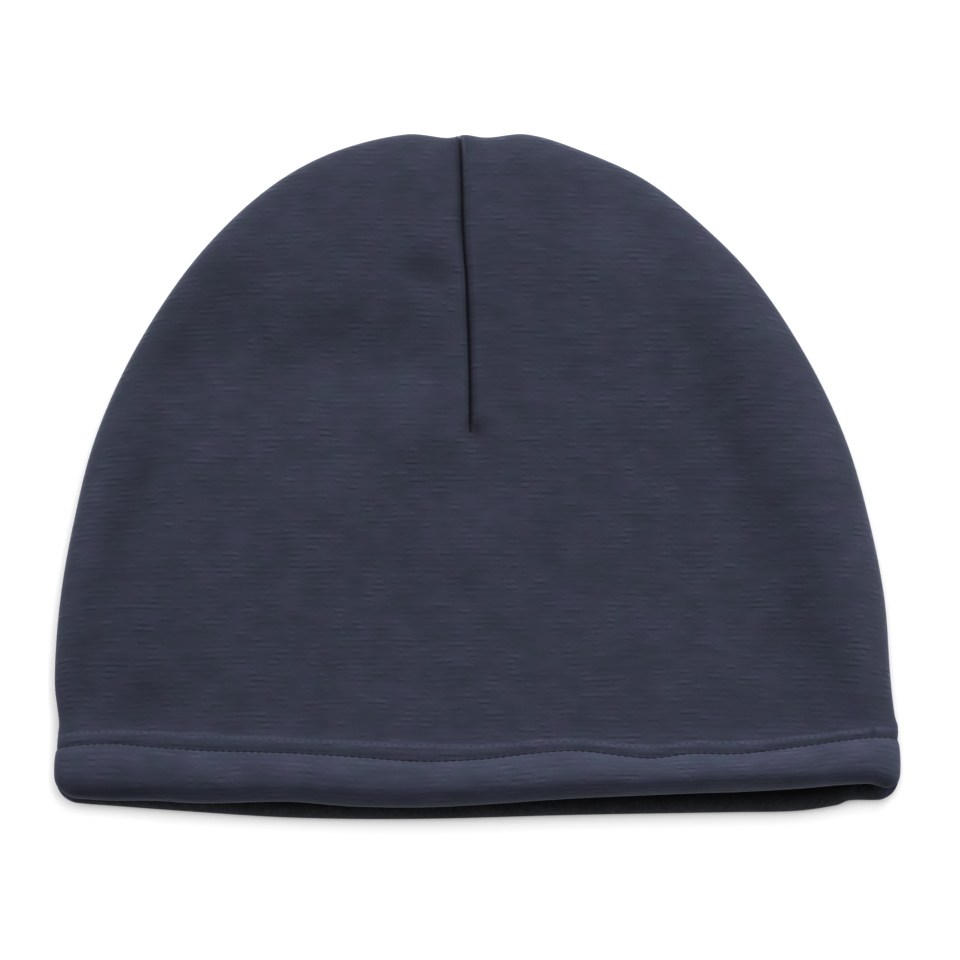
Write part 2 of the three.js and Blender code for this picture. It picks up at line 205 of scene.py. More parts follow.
# The hem's section, from the stitching over the shoulder and round the fold to the lip inside.
# Walk is the way along it, part the share of the way down to the fold, out is off the cloth.
HEM_SECTION = table("walk part out", [
    (0.0, 0.00, 0.0),
    (0.8, 0.04, 0.55),
    (2.1, 0.12, 1.3),
    (3.9, 0.24, 1.95),
    (5.7, 0.36, 2.3),
    (7.8, 0.50, 2.45),
    (9.2, 0.60, 2.45),
    (11.4, 0.75, 2.3),
    (13.2, 0.86, 1.75),
    (15.1, 0.95, 0.5),
    (17.8, 1.00, -2.1),
    (19.4, 0.985, -3.7),
    (20.6, 0.94, -4.6),
    (22.1, 0.84, -5.1),
    (24.3, 0.68, -5.1),
    (28.3, 0.40, -5.1),
])
NAP_FROM_WALK = 20  # where on the front the brushed side begins
BACK_NAP_FROM_WALK = 15.5  # and on the back, whose inside shows in the mouth
CORNER_NAP_FROM_WALK = 23  # at the mouth's corners the outside shows all round
CORNER_NAP_REACH = 9
INSIDE_SHADE = 0.9  # how much of its light the inside has lost, away from the fold

# How dark and how light the materials go against their colour
KNIT_SHADES = (0.68, 1.32)
GRAIN_SHADES = (0.975, 1.025)
PAINTED_HIGHLIGHT_SHADES = (1.0, 1.75)  # PAINTED_HIGHLIGHT_SHADES = (1.0, 1.75) # where the cloth has no painted highlight and where it is brightest
PAINTED_SHADING_RANGE = (0.7, 1.3)
NAP_SHADES = (0.75, 1.2)
PLY_SHADES = (0.6, 1.2)
PAINTED_SHADE_FACTOR = 0.08  # PAINTED_SHADE_FACTOR = 0.08 # painted shade deep in a seam

# The knit's two hues and its ribs, the sheen, and the plies of the thread
CASTS = ((1.05, 0.98, 1.02, 1.0), (0.94, 1.02, 0.96, 1.0))
RIB_SWAY = 0.0022  # metres by which the ribs sway
RIB_JUMP = 7.31  # how far apart the noise of two ribs is looked up
SHEEN_TINT = (0.62, 0.68, 0.9, 1.0)
HEM_SHEEN_SHARE = 0.6  # the hem's sheen against the panels'
NAP_SHEEN_SHARE = 0.2
PLY_LENGTH = 0.0004  # metres from one ply of the thread to the next

# The stage, in metres. Each soft light has its place, width, height and power setting.
SOFT_LIGHTS = {
    "key_light": ((0.65, 1.95, 1.45), 1.8, 1.2, "key_power"),
    "top_light": ((0.0, 0.1, 2.0), 1.2, 1.2, "top_power"),
    "right_light": ((1.4, 0.0, 0.25), 1.4, 0.4, "side_power"),
    "left_light": ((-1.15, 0.0, 0.5), 1.4, 0.4, "side_power"),
    "front_light": ((0.0, -1.6, 0.4), 1.2, 0.4, "front_power"),
}
WHITE = (1.0, 1.0, 1.0, 1.0)
FLOOR_REACH = 4.0
FLOOR_DROP = 0.0002
FLOOR_PAINTED_SHADOW_REACH = 0.007  # FLOOR_PAINTED_SHADOW_REACH = 0.007 # how near the hat the floor has a painted contact shadow
FLOOR_PAINTED_SHADOW_POWER = 1.3
CAMERA_AIM = (0.0011, -0.0024, 0.012)
LENS = 800  # focal length and sensor width in millimetres
SENSOR_WIDTH = 36

# How finely the cloth is meshed
SEAM_LINKS = 380
FRONT_COLUMNS = 497
FRONT_ROWS = 145
BACK_COLUMNS = 253
BACK_ROWS = 105
COLUMN_SKIP = 4  # the inside of a panel keeps one column in so many
ROW_SKIP = 2
HEM_STATIONS = 1060
HEM_WALKS = 44
LIP_WALKS = 7
CAPSULE_RINGS = 5
CAPSULE_SIDES = 6


# Curves and arrays

def track(columns, knot, column, at):
    """A smooth curve through a table's column, with another column as its knots.

    Each stretch is a cubic whose slope at a knot is that of the line from the knot before to
    the knot after. Beyond the ends of the table the curve stays level.
    """
    knots, values = columns[knot], columns[column]
    last = len(knots) - 1
    before = np.maximum(np.arange(last + 1) - 1, 0)
    after = np.minimum(np.arange(last + 1) + 1, last)
    slopes = (values[after] - values[before]) / (knots[after] - knots[before])
    at = np.clip(at, knots[0], knots[-1])
    i = np.clip(np.searchsorted(knots, at) - 1, 0, last - 1)
    span = knots[i + 1] - knots[i]
    t = (at - knots[i]) / span
    return (
        (1 + 2 * t) * (1 - t) ** 2 * values[i]
        + t * (1 - t) ** 2 * span * slopes[i]
        + t * t * (3 - 2 * t) * values[i + 1]
        - t * t * (1 - t) * span * slopes[i + 1]
    )


def mix(a, b, share):
    """The value a given share of the way from a to b."""
    return a + (b - a) * share


def roll(distance, reach):
    """0 at an edge and 1 from reach on, along a quarter of an ellipse."""
    left = 1 - np.clip(distance / reach, 0, 1)
    return np.sqrt(1 - left * left)


def bell(distance, reach):
    """1 at no distance, falling off as the exponential of minus the square over reach."""
    return np.exp(-((distance / reach) ** 2))


def ease(distance, start, end):
    """0 up to start and 1 from end on, with level ends."""
    t = np.clip((distance - start) / (end - start), 0, 1)
    return t * t * (3 - 2 * t)


def wander(distance, length):
    """A smooth uneven wave between about -1 and 1: three sines whose lengths share no period."""
    turns = 2 * np.pi * distance / length
    return (np.sin(turns) + 0.7 * np.sin(1.73 * turns + 1.9) + 0.5 * np.sin(2.91 * turns + 4.1)) / 1.7


def crowded(low, high, count, density):
    """Places from low to high whose spacing is in inverse proportion to a density."""
    fine = np.linspace(low, high, 20001)
    passed = np.cumsum(density(fine))
    return np.interp(np.linspace(passed[0], passed[-1], count), passed, fine)


def sums(steps):
    """Running sums, which start at 0."""
    return np.concatenate([[0], np.cumsum(steps)])


def unit(vectors):
    """The vectors, each brought to length 1."""
    return vectors / np.linalg.norm(vectors, axis=-1, keepdims=True)


# The laid-out cloth

def patchwork(patches, column, across, up):
    """The sum of a table's soft patches: its column, falling off as a bell from each middle
    along the patch's long direction and across it."""
    total = np.zeros_like(across)
    rows = zip(*(patches[name] for name in ("across", "up", "long", "wide", "turn", column)))
    for middle, height, long, wide, turn, value in rows:
        cos, sin = np.cos(np.radians(turn)), np.sin(np.radians(turn))
        along = (across - middle) * cos + (up - height) * sin
        aside = (up - height) * cos - (across - middle) * sin
        total += value * bell(along, long) * bell(aside, wide)
    return total


def seam_points(up, side):
    """Where the side seam lies in plan beside a course."""
    across = track(COURSES, "centre_up", side, up)
    return np.stack([across, track(COURSES, "centre_up", "side_up", up)], axis=-1)


def seam_chain(side):
    """The side seam as a chain of points, closer together toward the apex, where it curves."""
    return seam_points(APEX_UP * (1 - (1 - np.arange(SEAM_LINKS + 1) / SEAM_LINKS) ** 1.7), side)


def distance_to_chain(plan, chain):
    """Each point's distance from a chain, and the unit vector to the right of its nearest link."""
    start = chain[:-1]
    run = np.diff(chain, axis=0)
    squared = (run ** 2).sum(axis=-1)
    points = plan.reshape(-1, 2)
    distance = np.empty(len(points))
    link = np.empty(len(points), dtype=int)
    for some in np.array_split(np.arange(len(points)), 1 + len(points) // 2000):
        off_x = points[some, 0, None] - start[:, 0]
        off_y = points[some, 1, None] - start[:, 1]
        along = np.clip((off_x * run[:, 0] + off_y * run[:, 1]) / squared, 0, 1)
        gap = np.hypot(off_x - along * run[:, 0], off_y - along * run[:, 1])
        link[some] = gap.argmin(axis=-1)
        distance[some] = gap.min(axis=-1)
    right = np.stack([run[link, 1], -run[link, 0]], axis=-1) / np.sqrt(squared[link])[:, None]
    return np.maximum(distance, 1e-9).reshape(plan.shape[:-1]), right.reshape(plan.shape)


LEFT_CHAIN = seam_chain("left_x")
RIGHT_CHAIN = seam_chain("right_x")


def depth_inside(plan):
    """How far in from the side seam a point lies, and the unit direction in which that grows.

    The distances from the two sides are blended as the cube root of one over the sum of their
    inverse cubes, so that the cloth has no crease where they are equally near.
    """
    left, from_left = distance_to_chain(plan, LEFT_CHAIN)
    right, to_right = distance_to_chain(plan, RIGHT_CHAIN)
    depth = (left ** -3 + right ** -3) ** (-1 / 3)
    pull = (depth / left)[..., None] ** 4 * from_left - (depth / right)[..., None] ** 4 * to_right
    return depth, pull


def smooth_face(hem, column, up, sizes):
    """The smooth outer face of the cloth: points, depth inside the side seam and its direction.

    In plan a course bends from its height on the dart line up to its height on the side seam,
    and at the apex the right half laps a little over the left one. The front's height is the
    seam's, plus a quarter of an ellipse over the side fold, plus an arch at the mouth that goes
    over into a dome with a flat middle, plus soft swells. The back falls from the seam to the
    floor along a quarter of an ellipse.
    """
    across = np.sin(column * np.pi / 2)
    seam = np.where((across < 0)[..., None], seam_points(up, "left_x"), seam_points(up, "right_x"))
    x = mix(track(COURSES, "centre_up", "centre_x", up), seam[..., 0], np.abs(across))
    plan_up = mix(up, seam[..., 1], across ** 2)
    depth, inward = depth_inside(np.stack([x, plan_up], axis=-1))
    depth = np.where(np.abs(column) == 1, 0, depth)
    level = np.minimum(up / HEM_WAVE_REACH, 1)
    lap = DART_LAP * ease(x, -8, -3.8) * bell(x + 3.4, 4) * bell(depth, 6) * ease(up, 150, 190)
    y = plan_up + track(hem, "across", "row", x) * (1 - level) ** 2 + HEM_ROW_Y + lap
    if hem is BACK_HEM:
        z = sizes.seam_height * (1 - roll(depth, BACK_EDGE_REACH))
        return np.stack([x, y, z], axis=-1), depth, inward
    dome = sizes.dome_rise * (1 - (1 - np.minimum(depth / DOME_REACH, 1)) ** 2)
    arch = track(hem, "across", "rise", x) * roll(depth, MOUTH_EDGE_REACH)
    settle = level * level * (3 - 2 * level)
    swell = patchwork(SWELLS, "height", x, plan_up)
    z = sizes.seam_height + sizes.edge_rise * roll(depth, FRONT_EDGE_REACH)
    z += mix(arch, dome, settle) + swell * roll(depth, MOUTH_EDGE_REACH)
    return np.stack([x, y, z], axis=-1), depth, inward


def row_walk(hem, sizes):
    """Columns from the left to the right seam, with how far along the stitch row each one is."""
    column = np.sin(np.linspace(-np.pi / 2, np.pi / 2, 1601))
    points, _, _ = smooth_face(hem, column, np.zeros_like(column), sizes)
    steps = np.linalg.norm(np.diff(points, axis=0), axis=-1)
    return column, sums(steps)


def row_gap(hem, column, sizes):
    """How far the upper stitch row lies above the lower one at each column."""
    across = hem["across"][-1] * np.sin(column * np.pi / 2)
    return sizes.row_spacing * track(hem, "across", "gap", across)


def pressed(up, gap, hole, sizes):
    """How far the two rows of stitching shift the cloth in, with the band between them.

    Each row is a narrow groove. The lower one is the deeper, and dimpled at the needle holes.
    The band is two layers, so it stands proud: it rises softly from the lower row, and
    falls off as the square of the way to the upper row, where it ends in a ledge.
    """
    beyond = up - gap
    grooves = bell(up, ROW_REACH) + 0.3 * bell(beyond - 0.5, 0.5)
    dimple = DIMPLE_DEPTH * hole * bell(up, DIMPLE_REACH)
    band = BAND_RISE * ease(up, 0, BAND_EASE) * (1 - np.clip(up / (gap + 0.5), 0, 1) ** 2)
    return sizes.stitch_depth * grooves + dimple - band


def cloth(hem, column, up, sizes):
    """The cloth at some places: its smooth face, and what the seams and stitching do to it.

    Normals are the cross product of small steps across and along, and point straight out of
    the laid-out shape at the side seam. The groove of the seam is two rolled edges that meet,
    and the dart's edges slope evenly into a narrow slot. Behind each stands a ridge of cloth.
    """
    step = 1e-3
    point, depth, inward = smooth_face(hem, column, up, sizes)
    steps = (-step, step)
    left, right = (smooth_face(hem, column + way, up, sizes)[0] for way in steps)
    before, beyond = (
        smooth_face(hem, column, np.clip(up + way, 0, APEX_UP), sizes)[0] for way in steps
    )
    at_seam = depth < 0.04
    outward = np.concatenate([-inward, np.zeros_like(column)[..., None]], axis=-1)
    facing = np.cross(right - left, beyond - before) * (-1 if hem is BACK_HEM else 1)
    facing = np.where(at_seam[..., None], outward, facing)
    normal = unit(facing)
    from_seam = np.hypot(depth, point[..., 2] - sizes.seam_height)
    beside_dart = point[..., 0] - track(COURSES, "centre_up", "centre_x", up)
    from_dart = np.abs(beside_dart)
    started = ease(up, DART_END_UP, DART_END_UP + DART_FADE) * roll(from_seam, DART_SEAM_REACH)
    walk_columns, walk = row_walk(hem, sizes)
    row_distance = np.interp(column, walk_columns, walk)
    hole = np.cos(2 * np.pi * row_distance / sizes.stitch_length)
    gap = row_gap(hem, column, sizes)
    row_groove = pressed(up, gap, hole, sizes) * roll(depth, STITCH_SEAM_REACH)
    open_slot = np.maximum(from_dart - DART_SLOT, 0)
    dart_groove = sizes.dart_depth * started * (1 - ease(open_slot, 0, DART_REACH))
    dart_hollow = DART_HOLLOW * started * bell(from_dart, DART_HOLLOW_REACH)
    shallow = 1 - 0.8 * bell(np.hypot(from_dart, APEX_UP - up), 12)
    seam_groove = sizes.seam_depth * (1 - roll(from_seam, SEAM_REACH)) * shallow
    seam_ridge = sizes.seam_depth * bell(from_seam, RIDGE_REACH)
    dart_ridge = sizes.dart_depth * started * bell(from_dart, RIDGE_REACH)
    # painted highlight on the band's ledge by the upper row, and painted light along the lower row
    worn = np.maximum(bell(up - gap, 0.9), 0.3 * bell(up - gap, 4)) + 0.45 * bell(up, 0.6)
    # patches of painted shade and painted light
    pile = patchwork(PAINTED_SHADING, "tone", point[..., 0], point[..., 1] - HEM_ROW_Y)
    return SimpleNamespace(
        point=point,
        normal=normal,
        depth=depth,
        inward=inward,
        row_distance=row_distance,
        groove=np.maximum(seam_groove, dart_groove) + row_groove + dart_hollow,
        ridge=np.maximum(seam_ridge, dart_ridge) + dart_hollow,
        # painted shade in the dart, at the needle holes and in the seams
        crevice=np.maximum(
            dart_painted_shade(up, beside_dart, from_seam),
            stitch_row_painted_shade(point[..., 0], up, hole, row_distance),
        ),
        worn=worn * roll(depth, STITCH_SEAM_REACH),
        pile=np.clip(pile, -1, 1) * (hem is FRONT_HEM),
    )


def dart_painted_shade(up, beside_dart, from_seam):
    """Painted shade in the dart and round its lower end. The painted shade lies to the left of the
    dart near the crown, where the two edges close, and to its right farther down."""
    along = ease(up, DART_END_UP, DART_END_UP + 1.6) * mix(0.6, 1, ease(from_seam, 0, 9))
    high = ease(up, 150, 172)
    from_dart = np.abs(beside_dart)
    slot = 1 - ease(from_dart, DART_SLOT, DART_SLOT + 0.45)
    on_left = mix(0.15 * bell(from_dart, 0.8), 0.6 * bell(from_dart, 1.7), high)
    on_right = mix(0.6 * bell(from_dart, 1.4), 0.4 * bell(from_dart, 0.8), high)
    shaded = np.where(beside_dart < 0, on_left, on_right)
    tuck = 0.7 * bell(np.hypot(beside_dart - 1, 1.2 * (up - DART_END_UP - 3)), 3.6)
    return np.maximum(along * np.maximum(slot, shaded), tuck)


def stitch_row_painted_shade(across, up, hole, row_distance):
    """Painted shade at the needle holes of the lower row, which bite deeper in some places
    than in others, and a darker mark where the stitching overlaps near the right seam."""
    overlap = 0.45 * bell(across - 126.3, 0.7) * ease(up, 0.8, 1.8) * (1 - ease(up, 3.2, 4.2))
    bite = np.clip(0.5 + 0.5 * wander(row_distance, 23), 0.1, 1)
    holes = bite * (0.5 + 0.5 * hole) ** 2
    return np.maximum((0.06 + 0.12 * holes) * bell(up - 0.3, 1.2), overlap)


def below(places, distance):
    """Points under the smooth face of the cloth, or over it where the distance is negative."""
    return places.point - places.normal * np.asarray(distance)[..., None]


def unrolled(depth, reach, rise):
    """How much longer the cloth is than its plan, from a depth out over the side fold in.

    It is the length along a quarter of an ellipse, less its reach in plan.
    """
    turn = np.linspace(0, np.pi / 2, 400)
    across, height = reach * (1 - np.cos(turn)), rise * np.sin(turn)
    steps = np.hypot(np.diff(across), np.diff(height)) - np.diff(across)
    spare = sums(steps)
    return spare[-1] - np.interp(depth, across, spare)


# Meshes

def add_object(name, data):
    """A new object in the scene."""
    thing = bpy.data.objects.new(name, data)
    bpy.context.scene.collection.objects.link(thing)
    return thing


def grid_quads(row_count, column_count):
    """Corner numbers of the faces of a grid that is numbered row by row."""
    corner = np.arange(row_count * column_count).reshape(row_count, column_count)
    faces = [corner[:-1, :-1], corner[:-1, 1:], corner[1:, 1:], corner[1:, :-1]]
    return np.stack(faces, axis=-1).reshape(-1, 4)


def bridge(fine, coarse):
    """Triangles between a fine row of corners and a coarse one, given one coarse corner for
    each fine one. A second triangle comes in wherever the coarse corner changes."""
    thin = np.stack([fine[:-1], fine[1:], coarse[1:]], axis=-1)
    wide = np.stack([fine[:-1], coarse[1:], coarse[:-1]], axis=-1)
    return np.concatenate([thin, wide[coarse[1:] != coarse[:-1]]])


def make_piece(name, points, faces, uvs, materials, slots=None, masks=None):
    """An object from points in millimetres, lists of faces of like size, and one UV for each
    corner of each face. Slots gives the material of each face, masks named values for each
    point, such as how much painted shade it has."""
    mesh = bpy.data.meshes.new(name)
    corners = np.concatenate([some.ravel() for some in faces])
    sizes = np.concatenate([np.full(len(some), some.shape[1]) for some in faces])
    starts = sums(sizes[:-1])
    mesh.vertices.add(len(points))
    mesh.vertices.foreach_set("co", (points * 0.001).ravel())
    mesh.loops.add(len(corners))
    mesh.loops.foreach_set("vertex_index", corners.astype(np.int32))
    mesh.polygons.add(len(sizes))
    mesh.polygons.foreach_set("loop_start", starts.astype(np.int32))
    if slots is not None:
        mesh.polygons.foreach_set("material_index", slots.astype(np.int32))
    mesh.update(calc_edges=True)
    mesh.validate()
    mesh.uv_layers.new(name="UVMap").data.foreach_set("uv", (uvs * 0.001).ravel())
    for mask, values in (masks or {}).items():
        mesh.attributes.new(mask, "FLOAT", "POINT").data.foreach_set("value", values)
    mesh.shade_smooth()
    for material in materials:
        mesh.materials.append(material)
    piece = add_object(name, mesh)
    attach(piece, "root")
    return piece


def panel_columns(count):
    """Columns from seam to seam, crowded at the dart and where the cloth turns at the seams."""
    across = crowded(
        -1, 1, count, lambda a: 1 + 4 * bell(a, 0.02) + 9 * bell(1 - np.abs(a), 0.016)
    )
    across[[0, count // 2, -1]] = -1, 0, 1
    return np.arcsin(across) * 2 / np.pi


def panel_rows(count):
    """Courses from the lower stitch row to just under the apex, crowded at the hem, at the
    dart's end and at the apex."""
    return crowded(
        0, APEX_UP - 0.8, count,
        lambda up: 1 + 4 * bell(up - 3, 5) + 1.2 * bell(up - DART_END_UP - 3, 5)
        + 3 * bell(APEX_UP - up, 6),
    )


def panel_faces(fine, coarse):
    """Faces of a panel, given the shapes of its outer grid of corners and of its coarser inner
    one, which the two corners at the apex follow. The outside comes first: its grid and its fan
    up to the apex. Then come the inner grid, the strips that join the two along the left seam,
    the right seam and the stitching, the inner fan, and what closes the fans at their ends."""
    outer_count, inner_count = math.prod(fine), math.prod(coarse)
    apex = outer_count + inner_count
    outer = np.arange(outer_count).reshape(fine)
    inner = outer_count + np.arange(inner_count).reshape(coarse)
    near_row = np.arange(fine[0]) // ROW_SKIP
    near_column = np.arange(fine[1]) // COLUMN_SKIP
    left = bridge(outer[::-1, 0], inner[near_row[::-1], 0])
    right = bridge(outer[:, -1], inner[near_row, -1])
    mouth = bridge(outer[0, ::-1], inner[0, near_column[::-1]])
    outer_top, inner_top = outer[-1], inner[-1]
    cap = np.stack([outer_top[:-1], outer_top[1:], np.full(fine[1] - 1, apex)], axis=-1)
    lining = np.stack([inner_top[1:], inner_top[:-1], np.full(coarse[1] - 1, apex + 1)], axis=-1)
    ends = np.array([
        (outer_top[0], apex, inner_top[0]),
        (inner_top[0], apex, apex + 1),
        (apex, outer_top[-1], inner_top[-1]),
        (apex, inner_top[-1], apex + 1),
    ])
    inner_quads = (outer_count + grid_quads(*coarse))[:, ::-1]
    return [grid_quads(*fine), cap, inner_quads, left, right, mouth, lining, ends]


def make_panel(name, hem, row_count, column_count, sizes, outside, inside):
    """One panel of cloth: its outer and inner face as grids, closed along both seams, the
    stitching and the apex. Both faces carry the laid-out place as UV, with the side fold
    unrolled."""
    front = hem is FRONT_HEM
    column, up = np.meshgrid(panel_columns(column_count), panel_rows(row_count))
    places = cloth(hem, column, up, sizes)
    rise = sizes.edge_rise if front else sizes.seam_height
    reach = FRONT_EDGE_REACH if front else BACK_EDGE_REACH
    spare = unrolled(places.depth, reach, rise)
    uv = places.point[..., :2] - places.inward * spare[..., None]
    outer = below(places, places.groove)
    inner = below(places, sizes.thickness + places.ridge)
    rim = sizes.seam_height
    for points in (outer, inner):
        points[:, [0, -1], 2] = rim
        points[..., 2] = np.maximum(points[..., 2], rim) if front else np.minimum(points[..., 2], rim)
    outer[..., 2] = np.maximum(outer[..., 2], 0)
    inner = inner[::ROW_SKIP, ::COLUMN_SKIP]
    inner_uv = uv[::ROW_SKIP, ::COLUMN_SKIP]
    apex, _, _ = smooth_face(hem, np.zeros(1), np.full(1, APEX_UP), sizes)
    apex = apex[0] * [1, 1, 0] + [0, -0.3 * sizes.seam_depth, rim]
    inner_apex = apex - [0, sizes.thickness, 0]
    faces = panel_faces(outer.shape[:2], inner.shape[:2])
    if not front:
        faces = [some[:, ::-1] for some in faces]
    slots = np.concatenate([np.full(len(some), int(k > 1)) for k, some in enumerate(faces)])
    points = np.concatenate([outer.reshape(-1, 3), inner.reshape(-1, 3), [apex, inner_apex]])
    point_uv = np.concatenate([uv.reshape(-1, 2), inner_uv.reshape(-1, 2), [apex[:2], inner_apex[:2]]])
    inner_count = len(points) - outer.size // 3
    # the inner faces carry the full painted shade of the inside, and no painted highlight or painted
    # shading
    masks = {
        mask: np.concatenate([getattr(places, mask).ravel(), np.full(inner_count, inner_value)])
        for mask, inner_value in (("crevice", INSIDE_SHADE), ("worn", 0), ("pile", 0))
    }
    corner_uv = point_uv[np.concatenate([some.ravel() for some in faces])]
    return make_piece(name, points, faces, corner_uv, [outside, inside], slots, masks)


def hem_half(hem, column, sizes):
    """Half of the turned hem: one ring of points for each column, its way along the row, how
    much painted shade and painted highlight each point has, and where on the ring the brushed side
    begins.

    A ring follows the section table down the cloth, over the shoulder, round the fold and up
    inside, then the lip that both rows hold, and returns behind the panel's cloth. The
    shoulder is fuller in some places than in others, and dimpled at the needle holes.
    """
    row = cloth(hem, column, np.zeros_like(column), sizes)
    flat = unit(row.normal * [1, 0, 1])
    across = row.point[:, 0]
    corner = HEM_CORNER * (1 - roll(row.depth, HEM_CORNER))
    fold_y = track(hem, "across", "fold", across) + HEM_ROW_Y + corner
    droop = track(hem, "across", "droop", across)
    facing_up = np.maximum(flat[:, 2], 0)
    bulging = mix(0.1, 1 + 0.15 * wander(row.row_distance, 43), facing_up)
    hole = np.cos(2 * np.pi * row.row_distance / sizes.stitch_length)
    walk = np.linspace(0, HEM_SECTION["walk"][-1], HEM_WALKS)
    part = track(HEM_SECTION, "walk", "part", walk)
    out = track(HEM_SECTION, "walk", "out", walk)
    groove = row.groove[:, None] * bell(walk, 0.9)
    thin = mix(0.75, 1, facing_up)
    full = out * np.where(out > 0, bulging[:, None], thin[:, None])
    dimple = SHOULDER_DIMPLE * hole[:, None] * bell(walk - 0.4, 1.0) * bulging[:, None]
    offset = full - groove - dimple
    round_fold = np.empty((len(column), HEM_WALKS, 3))
    round_fold[..., 0] = across[:, None]
    round_fold[..., 1] = mix(row.point[:, 1, None], fold_y[:, None], part)
    round_fold[..., 2] = row.point[:, 2, None] - droop[:, None] * part ** 6
    round_fold += flat[:, None] * offset[..., None]
    lip_column, lip_share = np.meshgrid(column, np.linspace(0, 1, LIP_WALKS), indexing="ij")
    lip = cloth(hem, lip_column, lip_share * row_gap(hem, lip_column, sizes), sizes)
    behind = sizes.thickness + 0.2
    up_inside = below(lip, HEM_THICKNESS + lip.ridge)
    down_behind = below(lip, behind + lip.ridge)[:, ::-1]
    ring = np.concatenate([round_fold, up_inside, down_behind], axis=1)
    seam = sizes.seam_height
    low, high = (seam, 1e3) if hem is FRONT_HEM else (0, seam)
    ring[..., 2] = np.clip(ring[..., 2], low, high)
    ring[np.abs(column) == 1, :, 2] = seam
    past_corner = ease(row.depth, 1.5, CORNER_NAP_REACH)
    nap_from = NAP_FROM_WALK if hem is FRONT_HEM else BACK_NAP_FROM_WALK
    nap_from = mix(CORNER_NAP_FROM_WALK, nap_from, past_corner)
    crevice, worn = hem_painted_light(across, row.crevice, facing_up, past_corner, walk)
    lip_pad = ((0, 0), (0, ring.shape[1] - HEM_WALKS))
    crevice = np.pad(crevice, lip_pad, constant_values=INSIDE_SHADE)
    return ring, row.row_distance, crevice, np.pad(worn, lip_pad), nap_from


def hem_painted_light(across, row_painted_shade, facing_up, past_corner, walk):
    """The painted shade and painted highlight of the hem along its section. Painted shade lies at
    the row, where it rolls under to the fold, and inside away from the mouth's corners. A painted
    highlight lies along its top where it faces up, and less so at the left."""
    from_left = ease(across, -120, -60)[:, None]
    rolled_under = mix(0.4 * bell(walk - 14, 6), 0.85 * bell(walk - 17.3, 2.3), from_left)
    outside = np.maximum(row_painted_shade[:, None] * bell(walk, 0.5), facing_up[:, None] * rolled_under)
    within = INSIDE_SHADE * ease(walk, 19.5, 25.5) * past_corner[:, None]
    lit_top_highlight = 0.5 * facing_up * mix(0.35, 1, ease(across, -110, 60))
    worn = lit_top_highlight[:, None] * ease(walk, -1, 0.8) * (1 - ease(walk, 5, 16))
    return np.maximum(outside, within), worn


def make_hem(name, sizes, knit, nap):
    """The turned hem as one closed ring round the mouth: over the front from left to right,
    and back along the back. Its UV is the way along the row and the way round the section."""
    halves = []
    passed = 0
    walk_step = HEM_SECTION["walk"][-1] / (HEM_WALKS - 1)
    for hem, direction in ((FRONT_HEM, 1), (BACK_HEM, -1)):
        walk_columns, walk = row_walk(hem, sizes)
        stops = np.linspace(0, walk[-1], HEM_STATIONS // 2 + 1)
        column = np.interp(stops, walk, walk_columns)
        column[[0, -1]] = -1, 1
        ring, distance, crevice, worn, nap_from = hem_half(hem, column, sizes)
        along = passed + (distance if direction == 1 else walk[-1] - distance)
        half = (ring, along, crevice, worn, nap_from / walk_step)
        halves.append([values[::direction][:-1] for values in half])
        passed += walk[-1]
    ring, distance, crevice, worn, nap_from = (np.concatenate(pair) for pair in zip(*halves))
    stations, around = ring.shape[:2]
    steps = np.linalg.norm(np.diff(ring, axis=1), axis=-1).mean(axis=0)
    walked = [*sums(steps), steps.sum() + sizes.thickness]
    way = np.meshgrid([*distance, passed], np.negative(walked), indexing="ij")
    uv = np.stack(way, axis=-1).reshape(-1, 2)
    quads = grid_quads(stations + 1, around + 1)[:, ::-1]
    station, place = np.divmod(quads, around + 1)
    corners = station % stations * around + place % around
    slots = (place.min(axis=-1) >= nap_from[station[:, 0] % stations]).astype(int)
    masks = {"crevice": crevice.ravel(), "worn": worn.ravel()}
    return make_piece(
        name, ring.reshape(-1, 3), [corners], uv[quads.ravel()], [knit, nap], slots, masks
    )


